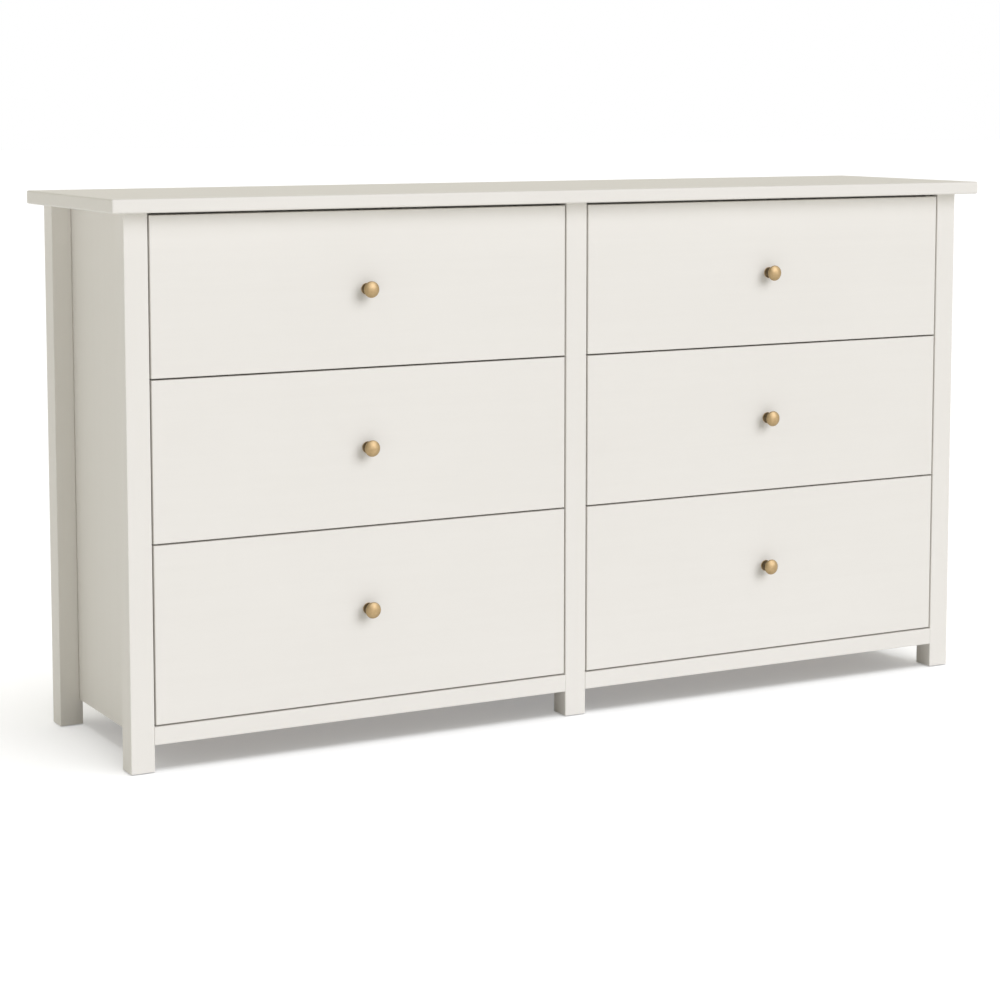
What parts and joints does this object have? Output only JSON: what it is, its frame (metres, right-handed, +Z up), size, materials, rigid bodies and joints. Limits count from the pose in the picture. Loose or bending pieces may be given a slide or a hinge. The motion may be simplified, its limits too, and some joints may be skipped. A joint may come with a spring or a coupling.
{
  "type": "dresser with drawers",
  "caption": "Wide painted dresser with a slab top on square legs and two banks of flush drawers with round knobs on full-extension slides.",
  "frame": {"origin": "on the floor, below the middle of the top panel", "axes": "+Z up, +X along the width to the right as seen from the front, -Y towards the front with the knobs"},
  "size_m": [1.51, 0.378, 0.82],
  "materials": {
    "painted_wood": "satin off-white paint over solid wood and board",
    "drawer_wood": "clear-sealed pale softwood",
    "drawer_bottom_board": "thin plywood, clear sealed",
    "inner_wood": "raw softwood",
    "back_board": "thin hardboard, painted on its outer face",
    "knob_brass": "satin lacquered",
    "slide_steel": "zinc plated",
    "zinc_screw": "zinc plated",
    "glide_plastic": "moulded"
  },
  "bodies": {
    "case": {"back_panels": "back_board", "cabinet_slide_members": "slide_steel", "carcass_screws": "zinc_screw", "centre_partition": "painted_wood", "front_bottom_rails": "painted_wood", "front_centre_leg": "painted_wood", "front_left_leg": "painted_wood", "front_right_leg": "painted_wood", "left_side_panel": "painted_wood", "leg_glides": "glide_plastic", "rear_centre_leg": "painted_wood", "rear_left_leg": "painted_wood", "rear_rails": "painted_wood", "rear_right_leg": "painted_wood", "right_side_panel": "painted_wood", "slide_packers": "inner_wood", "top_panel": "painted_wood", "top_stretchers": "inner_wood"},
    "drawer_left_bottom": {"drawer_left_bottom_bottom": "drawer_bottom_board", "drawer_left_bottom_box_walls": "drawer_wood", "drawer_left_bottom_fixings": "zinc_screw", "drawer_left_bottom_front": "painted_wood", "drawer_left_bottom_knob": "knob_brass", "drawer_left_bottom_slide_members": "slide_steel"},
    "slide_middles_left_bottom": {"drawer_left_bottom_middle_members": "slide_steel"},
    "drawer_left_middle": {"drawer_left_middle_bottom": "drawer_bottom_board", "drawer_left_middle_box_walls": "drawer_wood", "drawer_left_middle_fixings": "zinc_screw", "drawer_left_middle_front": "painted_wood", "drawer_left_middle_knob": "knob_brass", "drawer_left_middle_slide_members": "slide_steel"},
    "slide_middles_left_middle": {"drawer_left_middle_middle_members": "slide_steel"},
    "drawer_left_top": {"drawer_left_top_bottom": "drawer_bottom_board", "drawer_left_top_box_walls": "drawer_wood", "drawer_left_top_fixings": "zinc_screw", "drawer_left_top_front": "painted_wood", "drawer_left_top_knob": "knob_brass", "drawer_left_top_slide_members": "slide_steel"},
    "slide_middles_left_top": {"drawer_left_top_middle_members": "slide_steel"},
    "drawer_right_bottom": {"drawer_right_bottom_bottom": "drawer_bottom_board", "drawer_right_bottom_box_walls": "drawer_wood", "drawer_right_bottom_fixings": "zinc_screw", "drawer_right_bottom_front": "painted_wood", "drawer_right_bottom_knob": "knob_brass", "drawer_right_bottom_slide_members": "slide_steel"},
    "slide_middles_right_bottom": {"drawer_right_bottom_middle_members": "slide_steel"},
    "drawer_right_middle": {"drawer_right_middle_bottom": "drawer_bottom_board", "drawer_right_middle_box_walls": "drawer_wood", "drawer_right_middle_fixings": "zinc_screw", "drawer_right_middle_front": "painted_wood", "drawer_right_middle_knob": "knob_brass", "drawer_right_middle_slide_members": "slide_steel"},
    "slide_middles_right_middle": {"drawer_right_middle_middle_members": "slide_steel"},
    "drawer_right_top": {"drawer_right_top_bottom": "drawer_bottom_board", "drawer_right_top_box_walls": "drawer_wood", "drawer_right_top_fixings": "zinc_screw", "drawer_right_top_front": "painted_wood", "drawer_right_top_knob": "knob_brass", "drawer_right_top_slide_members": "slide_steel"},
    "slide_middles_right_top": {"drawer_right_top_middle_members": "slide_steel"}
  },
  "joints": [
    {"name": "drawer_left_bottom_slide", "type": "slide", "parent": "case", "child": "drawer_left_bottom", "axis": [0, -1, 0], "range_m": [0, 0.3]},
    {"name": "drawer_left_bottom_middle_slide", "type": "slide", "parent": "case", "child": "slide_middles_left_bottom", "axis": [0, -1, 0], "range_m": [0, 0.15]},
    {"name": "drawer_left_middle_slide", "type": "slide", "parent": "case", "child": "drawer_left_middle", "axis": [0, -1, 0], "range_m": [0, 0.3]},
    {"name": "drawer_left_middle_middle_slide", "type": "slide", "parent": "case", "child": "slide_middles_left_middle", "axis": [0, -1, 0], "range_m": [0, 0.15]},
    {"name": "drawer_left_top_slide", "type": "slide", "parent": "case", "child": "drawer_left_top", "axis": [0, -1, 0], "range_m": [0, 0.3]},
    {"name": "drawer_left_top_middle_slide", "type": "slide", "parent": "case", "child": "slide_middles_left_top", "axis": [0, -1, 0], "range_m": [0, 0.15]},
    {"name": "drawer_right_bottom_slide", "type": "slide", "parent": "case", "child": "drawer_right_bottom", "axis": [0, -1, 0], "range_m": [0, 0.3]},
    {"name": "drawer_right_bottom_middle_slide", "type": "slide", "parent": "case", "child": "slide_middles_right_bottom", "axis": [0, -1, 0], "range_m": [0, 0.15]},
    {"name": "drawer_right_middle_slide", "type": "slide", "parent": "case", "child": "drawer_right_middle", "axis": [0, -1, 0], "range_m": [0, 0.3]},
    {"name": "drawer_right_middle_middle_slide", "type": "slide", "parent": "case", "child": "slide_middles_right_middle", "axis": [0, -1, 0], "range_m": [0, 0.15]},
    {"name": "drawer_right_top_slide", "type": "slide", "parent": "case", "child": "drawer_right_top", "axis": [0, -1, 0], "range_m": [0, 0.3]},
    {"name": "drawer_right_top_middle_slide", "type": "slide", "parent": "case", "child": "slide_middles_right_top", "axis": [0, -1, 0], "range_m": [0, 0.15]}
  ],
  "couplings": [
    {"joint": "drawer_left_bottom_middle_slide", "follows": "drawer_left_bottom_slide", "ratio": 0.5},
    {"joint": "drawer_left_middle_middle_slide", "follows": "drawer_left_middle_slide", "ratio": 0.5},
    {"joint": "drawer_left_top_middle_slide", "follows": "drawer_left_top_slide", "ratio": 0.5},
    {"joint": "drawer_right_bottom_middle_slide", "follows": "drawer_right_bottom_slide", "ratio": 0.5},
    {"joint": "drawer_right_middle_middle_slide", "follows": "drawer_right_middle_slide", "ratio": 0.5},
    {"joint": "drawer_right_top_middle_slide", "follows": "drawer_right_top_slide", "ratio": 0.5}
  ]
}
